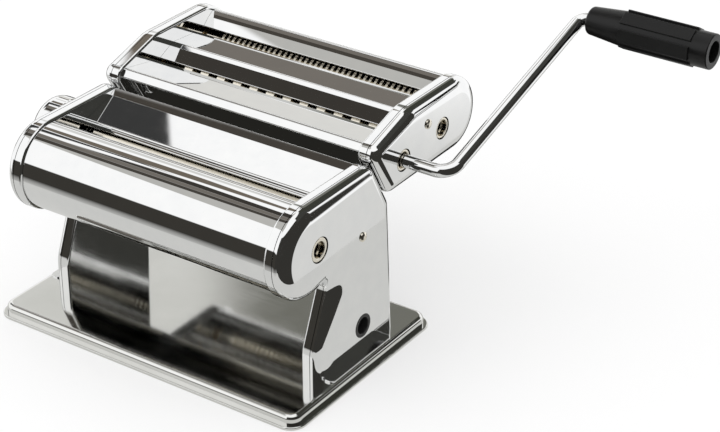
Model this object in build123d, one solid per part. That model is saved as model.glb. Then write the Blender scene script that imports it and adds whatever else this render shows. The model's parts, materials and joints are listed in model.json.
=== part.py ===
"""Hand-cranked pasta roller with a lift-off noodle cutter.

X runs along the rollers towards the crank, Y from the rounded nose to the cutter, Z up.
The origin is the middle of the base's underside. All lengths are millimetres.
"""
import os
from math import cos, pi, radians, sin

from build123d import *

# Base: a pressed pan closed by a flat plate whose lip stands out all round
base_margin = 9.0
base_width = 138.0
base_corner = 8.0
base_height = 8.0
pan_sheet = 1.2
pan_edge_round = 2.0
plate_thickness = 2.0
lip_width = 2.6
lip_round = 0.8

# Side boxes: an inner tray and a deep-drawn outer shell that meet at a seam
tray_depth = 5.8
seam_gap = 0.4
shell_depth = 6.8
box_sheet = 1.2
shell_rim = 6.0
tray_rim = 1.5

# Side outline of the roller unit, seen along X
nose_front = -65.5
nose_radius = 28.2
nose_flat = 0.6
panel_top = 125.0
top_fall = 1.0
ledge_y = 24.0
ledge_length = 33.6
ledge_slope = 60.0
ledge_round = 7.0
heel_round = 10.0
leg_rear = 46.0
leg_front = -32.0
leg_front_height = 18.0
leg_round = 8.0
neck_y = -14.0
neck_round = 6.0
foot_reach = 6.5
foot_sheet = 1.2
foot_front = -28.0
foot_rear = 33.0
foot_round = 3.0

# Smooth rollers
roller_y = -30.0
roller_z = 95.5
roller_radius = 14.5
roller_gap = 2.8
roller_closing = 2.4
roller_length = 166.0
roller_end_room = 5.0
roller_edge = 1.0
journal_radius = 5.0
socket_radius = 7.3
shoulder_gap = 0.3
running_play = 0.06
seat_play = 0.02

# Bushes, gears and bearing blocks in the side boxes
bush_flange = 1.5
bush_length = 4.0
bush_wall = 2.0
bush_rim = 1.2
gear_gap = 0.2
gear_width = 4.0
gear_teeth = 12
gear_addendum = 2.0
gear_dedendum = 2.7
gear_backlash = 0.9
pressure_angle = 20.0
block_height = 16.0
block_width = 16.0
block_gap = 0.5
block_thickness = 4.0
guide_play = 0.15
guide_thickness = 7.0
guide_length = 26.0
window_play = 0.6

# Guards and plates of the roller unit
sheet = 1.0
guard_inset = 1.5
guard_radius = 26.8
guard_lip_y = -25.0
guard_lip_round = 12.0
guard_lip_end = 110.0
guard_tail_y = -35.0
guard_hem = 3.0
guard_hem_round = 1.5
guard_end_play = 0.1
feed_low_y = -6.0
feed_low_z = 113.2
feed_high_y = 22.0
feed_high_z = 121.9
feed_lip = 3.0
feed_lip_run = 1.4
feed_round = 1.5
rear_guard_inset = 2.2
rear_guard_top = 2.0
rear_guard_bend = 31.0
rear_guard_bottom = 72.0
rear_guard_run = 1.0
scraper_width = 14.0
scraper_sheet = 1.0
scraper_play = 0.4
tie_radius = 3.0
stud_radius = 2.0
stud_length = 3.6
nut_radius = 3.6
nut_height = 2.0
nose_tie = (-53.5, 97.0)
rear_tie = (27.0, 104.0)
low_tie = (8.0, 74.0)

# Thickness regulator on the left side
regulator_sweep = 162.0
cam_radius = 6.5
cam_thickness = 2.4
cam_gap = 0.4
pin_radius = 2.0
pin_length = 2.2
pin_slot_play = 0.5
shaft_radius = 5.0
shaft_flat = 4.2
index_ring_radius = 23.0
index_ring_thickness = 3.0
index_ring_round = 1.0
index_groove_depth = 1.8
index_radius = 16.0
index_pin_radius = 1.5
index_pin_depth = 1.4
index_pin_seat = 3.5
index_play = 0.5
knob_gap = 0.5
knob_radius = 20.5
knob_flange = 21.5
knob_flange_width = 4.0
knob_flange_bevel = 1.0
knob_length = 21.5
knob_web = 4.0
knob_bore = 11.0
knob_round = 2.5
cap_thickness = 3.0
cap_round = 1.0
spring_length = 9.8
spring_radius = 8.0
spring_wire = 1.2
washer_radius = 9.6
washer_thickness = 1.5

# Screws and the clamp hole in the right leg
screw_y = 12.0
screw_z = 84.2
screw_head = 3.0
screw_head_height = 1.4
screw_shank = 1.6
screw_slot_length = 3.6
screw_slot_width = 0.8
screw_length = 5.0
clamp_y = 12.0
clamp_z = 24.8
clamp_bore = 5.2
clamp_wall = 2.3
clamp_floor = 1.6
liner_proud = 0.2

# Cutter unit, hung on the slanted ledge behind the rollers
cutter_gap = 1.4
cutter_tip = 7.5
cutter_low = 31.0
cutter_rise = 18.6
cutter_break_y = 62.0
cutter_rear = 134.0
cutter_rear_radius = 22.8
cutter_rear_flat = 0.4
cutter_tip_round = 7.0
cutter_low_round = 8.0
cutter_break_round = 30.0
rail_top = 6.0
rail_length = 18.0
rail_stem = 1.6
rail_head = 3.8
rail_head_height = 1.4
rail_play = 0.3
rail_stop_gap = 0.2
rail_exit = 40.0

# Cutting rollers: rings of one roller run in the grooves of its mate
ribbon_y = 53.5
ribbon_drop = 28.1
cutter_tilt = 5.0
pair_distance = 41.4
ring_radius = 10.6
ring_overlap = 2.6
groove_depth = 3.2
ring_play = 0.06
ribbon_pitch = 12.5
spaghetti_pitch = 4.0
cutting_width = 150.0
cutter_journal = 4.0
cutter_socket = 6.4
cutter_gear_width = 3.6
cutter_gear_addendum = 1.2
cutter_gear_dedendum = 1.8
cutter_gear_backlash = 0.6
cutter_gear_step = 1.0
shaft_end_gap = 0.4

# Guards, plates and fixings of the cutter; pairs are measured from the ribbon drive's axis
cutter_guard_inset = 2.2
front_plate_ridge = (-15.0, 16.9)
front_plate_low = (7.0, 11.9)
front_guard_round = 4.0
front_guard_low = 27.0
centre_front = (13.5, 13.3)
centre_ridge = (27.0, 17.7)
centre_rear = (47.5, 15.1)
centre_round = 2.5
rear_plate_low = (55.5, 16.9)
rear_plate_angle = 75.0
rear_guard_tail = 54.5
cutter_tie_radius = 2.5
front_cutter_tie = (-15.0, 4.5)
middle_cutter_tie = (30.0, -11.5)
rear_cutter_tie = (72.0, -4.0)
cutter_screw = (25.5, 12.8)
spacer_radius = 2.2
cutter_screw_shank = 1.2

# Crank and grip
rod_radius = 4.0
socket_play = 0.1
socket_depth = 16.5
mouth_step = 0.9
mouth_depth = 3.4
crank_hub = 31.0
crank_arm = 155.0
crank_angle = 16.2
crank_bend = 10.0
handle_bend = 6.0
cross_pin_radius = 1.3
cross_pin_end_play = 0.4
cross_slot_depth = 3.0
cross_slot_play = 0.2
grip_start = 6.4
grip_length = 82.5
grip_small = 8.6
grip_shoulder = 11.0
grip_cone = 24.0
grip_land_radius = 12.3
grip_land_length = 47.0
grip_lands = 6
grip_channel = 3.6
grip_nose_round = 2.0
grip_end_bore = 6.6
grip_end_depth = 18.0
retainer_radius = 5.8
retainer_thickness = 1.6
retainer_gap = 0.4
rod_end_proud = 2.0

# Places that several pieces share, and how far a cut runs past the metal
overcut = 1.0
outwards = (1, 0, 0)
half_roller = roller_length / 2
inner_face = half_roller + roller_end_room
tray_open = inner_face + tray_depth
shell_open = tray_open + seam_gap
outer_face = shell_open + shell_depth
base_length = 2 * (outer_face + base_margin)
crank_reach = outer_face + crank_hub
tray_wall = inner_face + box_sheet
shell_wall = outer_face - box_sheet
nose_bottom = panel_top - 2 * nose_radius - nose_flat
ledge_z = panel_top - top_fall
cutter_top = panel_top + cutter_rise
ribbon_z = cutter_top - ribbon_drop
ledge = Plane(
    origin=(0, ledge_y, ledge_z),
    x_dir=(1, 0, 0),
    z_dir=(0, -cos(radians(ledge_slope)), sin(radians(ledge_slope))),
)
rear_y = roller_y + 2 * roller_radius + roller_gap
barrel_end = inner_face - bush_flange - shoulder_gap
bush_end = inner_face - bush_flange + bush_length
gear_start = bush_end + gear_gap
block_start = gear_start + gear_width + block_gap
pair_spacing = 2 * ring_radius - ring_overlap
root_radius = ring_radius - groove_depth
mouth_bore = rod_radius + socket_play + mouth_step
wall_reach = inner_face - guard_end_play
parts = {}


def on_ledge(up, out):
    """A point (y, z) measured up along the slanted ledge and out from it."""
    slope = radians(ledge_slope)
    return (
        ledge_y - up * cos(slope) + out * sin(slope),
        ledge_z + up * sin(slope) + out * cos(slope),
    )


def from_ribbon(out, up):
    """A point (y, z) measured from the axis of the ribbon drive roller."""
    return (ribbon_y + out, ribbon_z + up)


def outline(points, radii, x):
    """A closed face in the plane X = x, from corner points (y, z) and their radii."""
    return make_face(Plane.YZ.offset(x) * FilletPolyline(*points, radius=radii, close=True))


def both_sides(piece):
    """A right-hand piece with its mirror image on the left."""
    return [piece, mirror(piece, about=Plane.YZ)]


def rod(y, z, start, end, radius):
    """A cylinder along X between two places."""
    return Pos((start + end) / 2, y, z) * Rot(0, 90, 0) * Cylinder(radius, end - start)


def turned(profile, y, z):
    """A piece turned about an X axis from (x, radius) points that start and end on the axis."""
    return Pos(0, y, z) * revolve(make_face(Polyline(*profile, close=True)), Axis.X)


def bush(y, z, bore):
    """A flanged plain bearing in the right inner tray."""
    wall = bore + bush_wall
    flange_face = inner_face - bush_flange
    body = rod(y, z, flange_face, bush_end, wall) + rod(y, z, flange_face, inner_face, wall + bush_rim)
    return body - rod(y, z, flange_face - overcut, bush_end + overcut, bore)


def bush_hole(y, z, bore):
    """The hole in the inner tray that a bush is pressed into."""
    return rod(y, z, inner_face - overcut, tray_open, bore + bush_wall + seat_play)


def tray(points, radii):
    """The right inner tray: a flat wall with its flange turned outwards."""
    blank = extrude(outline(points, radii, inner_face), tray_depth, dir=outwards)
    blank = fillet(blank.faces().sort_by(Axis.X)[0].edges(), tray_rim)
    hollow = offset(outline(points, radii, tray_wall), -box_sheet)
    return blank - extrude(hollow, tray_depth, dir=outwards)


def shell(points, radii):
    """The right outer shell: deep drawn, with a full round all the way along its rim."""
    blank = extrude(outline(points, radii, shell_open), shell_depth, dir=outwards)
    blank = fillet(blank.faces().sort_by(Axis.X)[-1].edges(), shell_rim)
    inside = offset(outline(points, radii, shell_open), -box_sheet)
    hollow = extrude(inside, shell_depth - box_sheet, dir=outwards)
    hollow = fillet(hollow.faces().sort_by(Axis.X)[-1].edges(), shell_rim - box_sheet)
    return blank - hollow


def bent_sheet(bend):
    """Sheet metal bent along a line in (y, z), running from wall to wall, thick on its right."""
    section = make_face(offset(Plane.YZ * bend, sheet, side=Side.RIGHT))
    return extrude(section, wall_reach, both=True)


def gear(y, z, start, width, pitch_radius, heights, backlash, bore, turn):
    """A spur gear with straight-flanked teeth; heights holds its addendum and dedendum."""
    flank = sin(radians(pressure_angle)) / cos(radians(pressure_angle))
    half = pi * pitch_radius / gear_teeth / 2 - backlash / 2
    tip, root = pitch_radius + heights[0], pitch_radius - heights[1]
    tip_half, root_half = half - heights[0] * flank, half + heights[1] * flank
    corners = []
    for tooth in range(gear_teeth):
        middle = radians(turn + tooth * 360 / gear_teeth)
        for radius, side in ((root, -root_half), (tip, -tip_half), (tip, tip_half), (root, root_half)):
            angle = middle + side / radius
            corners.append((y + radius * cos(angle), z + radius * sin(angle)))
    blank = extrude(make_face(Plane.YZ.offset(start) * Polyline(*corners, close=True)), width)
    return blank - rod(y, z, start - overcut, start + width + overcut, bore + seat_play)


def tie(y, z, radius):
    """A spacer rod between the inner trays, with the two nuts on its studs inside the boxes."""
    stud_end = tray_wall + stud_length
    body = rod(y, z, -inner_face, inner_face, radius) + rod(y, z, -stud_end, stud_end, stud_radius)
    hexagon = Plane.YZ.offset(tray_wall) * Pos(y, z) * RegularPolygon(nut_radius, 6)
    nut = extrude(hexagon, nut_height) - rod(y, z, inner_face, outer_face, stud_radius + seat_play)
    return body, both_sides(nut)


def socket_cut(y, z, mouth):
    """The crank socket: a round bore with a wider mouth, and a cross slot in the mouth's floor."""
    mouth_floor = mouth - mouth_depth
    bore = rod(y, z, mouth - socket_depth, mouth + overcut, rod_radius + socket_play)
    bore += rod(y, z, mouth_floor, mouth + overcut, mouth_bore)
    slot_width = 2 * (cross_pin_radius + cross_slot_play)
    slot_place = Pos(mouth_floor - cross_slot_depth / 2, y, z)
    return bore + slot_place * Box(cross_slot_depth, slot_width, 2 * mouth_bore)


# Base
pan_blank = Pos(0, 0, plate_thickness) * extrude(
    RectangleRounded(base_length, base_width, base_corner), base_height - plate_thickness
)
pan_blank = fillet(pan_blank.faces().sort_by(Axis.Z)[-1].edges(), pan_edge_round)
pan_hollow = Pos(0, 0, plate_thickness) * extrude(
    RectangleRounded(base_length - 2 * pan_sheet, base_width - 2 * pan_sheet, base_corner - pan_sheet),
    base_height - plate_thickness - pan_sheet,
)
pan_hollow = fillet(pan_hollow.faces().sort_by(Axis.Z)[-1].edges(), pan_edge_round - pan_sheet / 2)
parts["base_pan"] = pan_blank - pan_hollow
closing_plate = extrude(
    RectangleRounded(base_length + 2 * lip_width, base_width + 2 * lip_width, base_corner + lip_width),
    plate_thickness,
)
parts["bottom_plate"] = fillet(closing_plate.faces().sort_by(Axis.Z)[-1].edges(), lip_round)

# Side boxes of the roller unit
leg_buried = base_height - 2 * shell_rim
panel_points = [
    (nose_front, panel_top),
    (ledge_y, ledge_z),
    on_ledge(-ledge_length, 0),
    (leg_rear, leg_buried),
    (leg_front, leg_buried),
    (leg_front, base_height + leg_front_height),
    (neck_y, nose_bottom),
    (nose_front, nose_bottom),
]
panel_radii = [
    nose_radius,
    ledge_round,
    heel_round,
    leg_round,
    leg_round,
    leg_round,
    neck_round,
    nose_radius,
]
above_base = Pos(0, 0, base_height) * Box(
    4 * outer_face, 2 * base_length, 2 * panel_top, align=(Align.CENTER, Align.CENTER, Align.MIN)
)
foot_width = foot_reach + box_sheet
foot = Pos(shell_wall + foot_width / 2, (foot_front + foot_rear) / 2, base_height) * extrude(
    RectangleRounded(foot_width, foot_rear - foot_front, foot_round), foot_sheet
)
inner_tray = tray(panel_points, panel_radii) & above_base
outer_shell = (shell(panel_points, panel_radii) & above_base) + foot

window = Pos(0, rear_y - roller_closing / 2, roller_z) * Box(
    4 * outer_face, roller_closing, 2 * (journal_radius + window_play)
)
for end in (-roller_closing, 0):
    window += rod(rear_y + end, roller_z, -2 * outer_face, 2 * outer_face, journal_radius + window_play)
for tie_y, tie_z in (nose_tie, rear_tie, low_tie):
    window += rod(tie_y, tie_z, -2 * outer_face, 2 * outer_face, stud_radius + seat_play)
screw_hole = rod(screw_y, screw_z, shell_wall - overcut, outer_face + overcut, screw_shank + seat_play)
right_tray, left_tray = both_sides(inner_tray - window)
right_shell, left_shell = both_sides(outer_shell)
right_shell -= screw_hole
socket_bore = socket_radius + running_play
parts["right_inner_tray"] = right_tray - bush_hole(roller_y, roller_z, socket_bore)
left_bush_hole = mirror(bush_hole(roller_y, roller_z, journal_radius + running_play), about=Plane.YZ)
parts["left_inner_tray"] = left_tray - left_bush_hole
liner_radius = clamp_bore + clamp_wall
socket_window = socket_radius + window_play
right_shell -= rod(roller_y, roller_z, shell_wall - overcut, outer_face + overcut, socket_window)
parts["right_outer_shell"] = right_shell - rod(
    clamp_y, clamp_z, shell_wall - overcut, outer_face + overcut, liner_radius + seat_play
)
shaft_bush_radius = shaft_radius + running_play + bush_wall
parts["left_outer_shell"] = left_shell - rod(
    rear_y, roller_z, -outer_face - overcut, -shell_wall + overcut, shaft_bush_radius + seat_play
)
clamp_liner = rod(clamp_y, clamp_z, tray_wall, outer_face + liner_proud, liner_radius)
parts["clamp_liner"] = clamp_liner - rod(
    clamp_y, clamp_z, tray_wall + clamp_floor, outer_face + overcut, clamp_bore
)

# Guards, plates, scrapers and ties between the inner trays
guard_top = panel_top - guard_inset
guard_bottom = guard_top - 2 * guard_radius - nose_flat
guard_front = nose_front + guard_inset
front_bend = FilletPolyline(
    (guard_tail_y, guard_bottom + guard_hem),
    (guard_tail_y, guard_bottom),
    (guard_front, guard_bottom),
    (guard_front, guard_top),
    (guard_lip_y, guard_top),
    (guard_lip_y, guard_lip_end),
    radius=[guard_hem_round, guard_radius, guard_radius, guard_lip_round],
)
parts["front_guard"] = bent_sheet(front_bend)
feed_bend = FilletPolyline(
    (feed_low_y - feed_lip_run, feed_low_z - feed_lip),
    (feed_low_y, feed_low_z),
    (feed_high_y, feed_high_z),
    radius=feed_round,
)
parts["feed_plate"] = bent_sheet(feed_bend)
heel_y, heel_z = on_ledge(-rear_guard_bend, -rear_guard_inset)
rear_bend = FilletPolyline(
    on_ledge(-rear_guard_top, -rear_guard_inset),
    (heel_y, heel_z),
    (heel_y + rear_guard_run, rear_guard_bottom),
    radius=heel_round,
)
parts["rear_guard"] = bent_sheet(rear_bend)
scraper_z = roller_z - roller_radius - scraper_play - scraper_sheet / 2
for name, scraper_y in (
    ("front_scraper", roller_y - scraper_width / 2),
    ("rear_scraper", rear_y + scraper_width / 2),
):
    parts[name] = Pos(0, scraper_y, scraper_z) * Box(2 * inner_face, scraper_width, scraper_sheet)
ties = [tie(*place, tie_radius) for place in (nose_tie, rear_tie, low_tie)]
parts["tie_rods"] = [body for body, nuts in ties]
parts["tie_rod_nuts"] = [nut for body, nuts in ties for nut in nuts]

# Smooth rollers, their bushes and gears
socket_mouth = outer_face - shaft_end_gap
front_roller = rod(roller_y, roller_z, -bush_end - gear_gap, barrel_end, journal_radius)
front_roller += rod(roller_y, roller_z, barrel_end - overcut, socket_mouth, socket_radius)
shoulder = journal_radius + bush_wall + bush_rim
barrel_profile = [
    (-barrel_end, 0),
    (-barrel_end, shoulder),
    (-half_roller, shoulder),
    (-half_roller, roller_radius - roller_edge),
    (-half_roller + roller_edge, roller_radius),
    (half_roller - roller_edge, roller_radius),
    (half_roller, roller_radius - roller_edge),
    (half_roller, shoulder),
    (barrel_end, shoulder),
    (barrel_end, 0),
]
front_roller += turned(barrel_profile, roller_y, roller_z)
parts["front_roller"] = front_roller - socket_cut(roller_y, roller_z, socket_mouth)
block_end = block_start + block_thickness
rear_left_end = tray_wall + block_gap + block_thickness
rear_roller = rod(rear_y, roller_z, -rear_left_end, block_end, journal_radius)
parts["rear_roller"] = rear_roller + turned(barrel_profile, rear_y, roller_z)
left_bush = mirror(bush(roller_y, roller_z, journal_radius + running_play), about=Plane.YZ)
parts["roller_bushes"] = [bush(roller_y, roller_z, socket_bore), left_bush]
main_pitch = roller_radius + (roller_gap - roller_closing) / 2
main_heights = (gear_addendum, gear_dedendum)
half_tooth = 180 / gear_teeth
for name, gear_y, bore, turn in (
    ("front_gear", roller_y, socket_radius, 0),
    ("rear_gear", rear_y, journal_radius, half_tooth),
):
    parts[name] = gear(
        gear_y, roller_z, gear_start, gear_width, main_pitch, main_heights, gear_backlash, bore, turn
    )

# Bearing blocks of the rear roller, which slide between guides
right_block = Pos((block_start + block_end) / 2, rear_y, roller_z) * Box(
    block_thickness, block_width, block_height
)
parts["right_bearing_block"] = right_block - rod(
    rear_y, roller_z, block_start - overcut, block_end + overcut, journal_radius + running_play
)
left_block_start = tray_wall + block_gap
left_block_end = shell_wall - 2 * cam_gap - cam_thickness
left_block = Pos(-(left_block_start + left_block_end) / 2, rear_y, roller_z) * Box(
    left_block_end - left_block_start, block_width, block_height
)
left_block -= rod(
    rear_y, roller_z, -rear_left_end - cam_gap, -left_block_start + overcut, journal_radius + running_play
)
eccentric = roller_closing / 2 / sin(radians(regulator_sweep / 2))
start_turn = radians((180 - regulator_sweep) / 2)
pin_y = rear_y + eccentric * cos(start_turn)
pin_z = roller_z - eccentric * sin(start_turn)
slot_half = pin_radius + pin_slot_play
slot_depth = left_block_end - rear_left_end
pin_slot = Pos(-(left_block_end + rear_left_end) / 2, pin_y, roller_z) * Box(
    slot_depth + overcut, 2 * slot_half, 2 * (slot_half + eccentric)
)
parts["left_bearing_block"] = left_block - pin_slot
guides = []
for side in (-1, 1):
    guide_z = roller_z + side * (block_height / 2 + guide_play + guide_thickness / 2)
    right_guide = Pos((block_start + shell_wall) / 2, rear_y, guide_z) * Box(
        shell_wall - block_start, guide_length, guide_thickness
    )
    left_guide = Pos(-(tray_wall + shell_wall) / 2, rear_y, guide_z) * Box(
        shell_wall - tray_wall, guide_length, guide_thickness
    )
    guides += [right_guide, left_guide]
threaded_hole = rod(screw_y, screw_z, outer_face - screw_length, outer_face, screw_shank + seat_play)
parts["carriage_guides"] = [guide - threaded_hole for guide in guides]


def panel_screw(y, z, shank, length):
    """A domed cross-head screw in the right-hand shell."""
    head = rod(y, z, outer_face, outer_face + screw_head_height, screw_head)
    head = fillet(head.faces().sort_by(Axis.X)[-1].edges(), screw_head_height / 2)
    for turn in (0, 90):
        slot = Pos(outer_face + screw_head_height, y, z) * Rot(turn, 0, 0)
        head -= slot * Box(screw_head_height, screw_slot_length, screw_slot_width)
    return head + rod(y, z, outer_face - length, outer_face, shank)


parts["panel_screw"] = panel_screw(screw_y, screw_z, screw_shank, screw_length)

# Thickness regulator: cam shaft, index ring and a knob that is pulled out to turn
cam_inner = -(shell_wall - cam_gap - cam_thickness)
cam_outer = -(shell_wall - cam_gap)
ring_face = -(outer_face + index_ring_thickness)
knob_inner = ring_face - knob_gap
web_outer = knob_inner - knob_web
washer_inner = web_outer - spring_length
shaft_end = washer_inner - washer_thickness
flat_cut = Pos((shaft_end + ring_face) / 2, rear_y + shaft_radius + shaft_flat, roller_z) * Box(
    ring_face - shaft_end, 2 * shaft_radius, 4 * shaft_radius
)
cam_shaft = rod(rear_y, roller_z, cam_outer, cam_inner, cam_radius)
cam_shaft += rod(rear_y, roller_z, shaft_end, cam_outer, shaft_radius) - flat_cut
parts["regulator_cam"] = cam_shaft + rod(pin_y, pin_z, cam_inner, cam_inner + pin_length, pin_radius)
parts["regulator_bush"] = rod(rear_y, roller_z, ring_face, -shell_wall, shaft_bush_radius) - rod(
    rear_y, roller_z, ring_face - overcut, -shell_wall + overcut, shaft_radius + running_play
)
groove_half = index_pin_radius + index_play
groove_floor = ring_face + index_groove_depth
groove = rod(rear_y, roller_z, ring_face - overcut, groove_floor, index_radius + groove_half) - rod(
    rear_y, roller_z, ring_face - 2 * overcut, outer_face, index_radius - groove_half
)
index_ring = rod(rear_y, roller_z, ring_face, -outer_face, index_ring_radius)
index_ring = fillet(index_ring.faces().sort_by(Axis.X)[0].edges(), index_ring_round)
ring_bore = shaft_bush_radius + seat_play
index_ring -= rod(rear_y, roller_z, ring_face - overcut, -outer_face + overcut, ring_bore)
parts["index_ring"] = index_ring - groove
knob_outer = knob_inner - knob_length
knob = turned(
    [
        (knob_inner, 0),
        (knob_inner, knob_flange),
        (knob_inner - knob_flange_width, knob_flange),
        (knob_inner - knob_flange_width - knob_flange_bevel, knob_radius),
        (knob_outer, knob_radius),
        (knob_outer, 0),
    ],
    rear_y,
    roller_z,
)
knob = fillet(knob.faces().sort_by(Axis.X)[0].edges(), knob_round)
knob -= rod(rear_y, roller_z, knob_outer - overcut, web_outer, knob_bore)
knob_shaft_bore = shaft_radius + running_play
knob_flat_y = rear_y + shaft_radius + shaft_flat + running_play
knob_flat = Pos(knob_inner - knob_web / 2, knob_flat_y, roller_z) * Box(
    knob_web + 2 * overcut, 2 * shaft_radius, 4 * shaft_radius
)
knob -= rod(rear_y, roller_z, web_outer - overcut, knob_inner + overcut, knob_shaft_bore) - knob_flat
index_pin_y = rear_y - index_radius
parts["regulator_knob"] = knob - rod(
    index_pin_y, roller_z, knob_inner - index_pin_seat, knob_inner + overcut, index_pin_radius + seat_play
)
parts["index_pin"] = rod(
    index_pin_y, roller_z, knob_inner - index_pin_seat, ring_face + index_pin_depth, index_pin_radius
)
cap = rod(rear_y, roller_z, knob_outer, knob_outer + cap_thickness, knob_bore - seat_play)
parts["knob_cap"] = fillet(cap.faces().sort_by(Axis.X)[0].edges(), cap_round)
parts["spring_washer"] = rod(rear_y, roller_z, shaft_end, washer_inner, washer_radius) - (
    rod(rear_y, roller_z, shaft_end - overcut, washer_inner + overcut, shaft_radius + seat_play)
)
spring = rod(rear_y, roller_z, washer_inner, web_outer, spring_radius + spring_wire / 2)
parts["regulator_spring"] = spring - rod(
    rear_y, roller_z, washer_inner - overcut, web_outer + overcut, spring_radius - spring_wire / 2
)

# Side boxes of the cutter and the rails that it slides on
cutter_bottom = cutter_top - 2 * cutter_rear_radius - cutter_rear_flat
cutter_points = [
    on_ledge(cutter_tip, cutter_gap),
    (cutter_break_y, cutter_top),
    (cutter_rear, cutter_top),
    (cutter_rear, cutter_bottom),
    on_ledge(-cutter_low, cutter_gap),
]
cutter_radii = [
    cutter_tip_round,
    cutter_break_round,
    cutter_rear_radius,
    cutter_rear_radius,
    cutter_low_round,
]
rail_x = (tray_wall + tray_open) / 2
stem_out = cutter_gap + box_sheet + rail_play
rail_middle = -(rail_top + rail_length / 2)
rail = ledge * Pos(rail_x, stem_out / 2, rail_middle) * Box(rail_stem, stem_out, rail_length)
rail += ledge * Pos(rail_x, stem_out + rail_head_height / 2, rail_middle) * Box(
    rail_head, rail_head_height, rail_length
)
parts["cutter_rails"] = both_sides(rail)
run_top = -rail_top + rail_stop_gap
run_middle = run_top - rail_exit / 2
rail_run = ledge * Pos(rail_x, stem_out / 2, run_middle) * Box(
    rail_stem + 2 * rail_play, stem_out + 2 * rail_play, rail_exit
)
head_run = rail_head_height + 2 * rail_play
rail_run += ledge * Pos(rail_x, stem_out - rail_play + head_run / 2, run_middle) * Box(
    rail_head + 2 * rail_play, head_run, rail_exit
)
tilt = radians(cutter_tilt)
spaghetti_y = ribbon_y + pair_distance * cos(tilt)
spaghetti_z = ribbon_z + pair_distance * sin(tilt)
mate_y = pair_spacing * cos(tilt)
mate_z = pair_spacing * sin(tilt)
drive_axes = [(ribbon_y, ribbon_z), (spaghetti_y, spaghetti_z)]
mate_axes = [(y + mate_y, z + mate_z) for y, z in drive_axes]
journal_bore = cutter_journal + running_play
drive_bore = cutter_socket + running_play
tie_places = [from_ribbon(*place) for place in (front_cutter_tie, middle_cutter_tie, rear_cutter_tie)]
screw_place = from_ribbon(*cutter_screw)
cutter_tray = tray(cutter_points, cutter_radii) - rail_run
for tie_y, tie_z in tie_places:
    cutter_tray -= rod(tie_y, tie_z, inner_face - overcut, tray_open, stud_radius + seat_play)
right_tray, left_tray = both_sides(cutter_tray)
bushes = []
for y, z in drive_axes + mate_axes:
    right_bore = drive_bore if (y, z) in drive_axes else journal_bore
    right_tray -= bush_hole(y, z, right_bore)
    left_tray -= mirror(bush_hole(y, z, journal_bore), about=Plane.YZ)
    bushes += [bush(y, z, right_bore), mirror(bush(y, z, journal_bore), about=Plane.YZ)]
parts["cutter_right_tray"] = right_tray
parts["cutter_left_tray"] = left_tray
parts["cutter_bushes"] = bushes
cutter_shell = shell(cutter_points, cutter_radii)
cutter_screw_hole = cutter_screw_shank + seat_play
cutter_shell -= rod(*screw_place, shell_wall - overcut, outer_face + overcut, cutter_screw_hole)
right_shell, left_shell = both_sides(cutter_shell)
for y, z in drive_axes:
    right_shell -= rod(y, z, shell_wall - overcut, outer_face + overcut, cutter_socket + window_play)
parts["cutter_right_shell"] = right_shell
parts["cutter_left_shell"] = left_shell
spacer = rod(*screw_place, tray_wall, shell_wall, spacer_radius)
spacer -= rod(*screw_place, outer_face - screw_length, outer_face, cutter_screw_hole)
parts["cutter_spacers"] = both_sides(spacer)
parts["cutter_screws"] = both_sides(panel_screw(*screw_place, cutter_screw_shank, screw_length))

# Guards and plates of the cutter
slope_low = on_ledge(-front_guard_low, cutter_gap + cutter_guard_inset)
slope_tip = on_ledge(cutter_tip - cutter_guard_inset, cutter_gap + cutter_guard_inset)
front_plate = [from_ribbon(*front_plate_ridge), from_ribbon(*front_plate_low)]
cutter_front_bend = FilletPolyline(slope_low, slope_tip, *front_plate, radius=front_guard_round)
parts["cutter_front_guard"] = bent_sheet(cutter_front_bend)
centre_plate = [from_ribbon(*corner) for corner in (centre_front, centre_ridge, centre_rear)]
centre_bend = FilletPolyline(*centre_plate, radius=centre_round)
parts["cutter_centre_ridge"] = bent_sheet(centre_bend)
round_y = cutter_rear - cutter_rear_radius
round_z = (cutter_top + cutter_bottom) / 2
rear_round = CenterArc(
    (round_y, round_z), cutter_rear_radius - guard_inset, rear_plate_angle, -rear_plate_angle - 90
)
rear_tail = rear_round @ 1
cutter_rear_bend = (
    Line(from_ribbon(*rear_plate_low), rear_round @ 0)
    + rear_round
    + Line(rear_tail, (ribbon_y + rear_guard_tail, rear_tail.Y))
)
parts["cutter_rear_guard"] = bent_sheet(cutter_rear_bend)
cutter_ties = [tie(*place, cutter_tie_radius) for place in tie_places]
parts["cutter_tie_rods"] = [body for body, nuts in cutter_ties]
parts["cutter_tie_nuts"] = [nut for body, nuts in cutter_ties for nut in nuts]


def cutting_roller(y, z, pitch, phase):
    """A roller turned with square rings; phase 0 or 1 says which half of each pitch is ring."""
    ring = pitch / 2 - 2 * ring_play
    profile = [(-barrel_end, 0), (-barrel_end, root_radius)]
    count = int(cutting_width // pitch)
    first = -count * pitch / 2 + phase * pitch / 2 + ring_play
    for index in range(count):
        start = first + index * pitch
        profile += [
            (start, root_radius),
            (start, ring_radius),
            (start + ring, ring_radius),
            (start + ring, root_radius),
        ]
    profile += [(barrel_end, root_radius), (barrel_end, 0)]
    return turned(profile, y, z)


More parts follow.
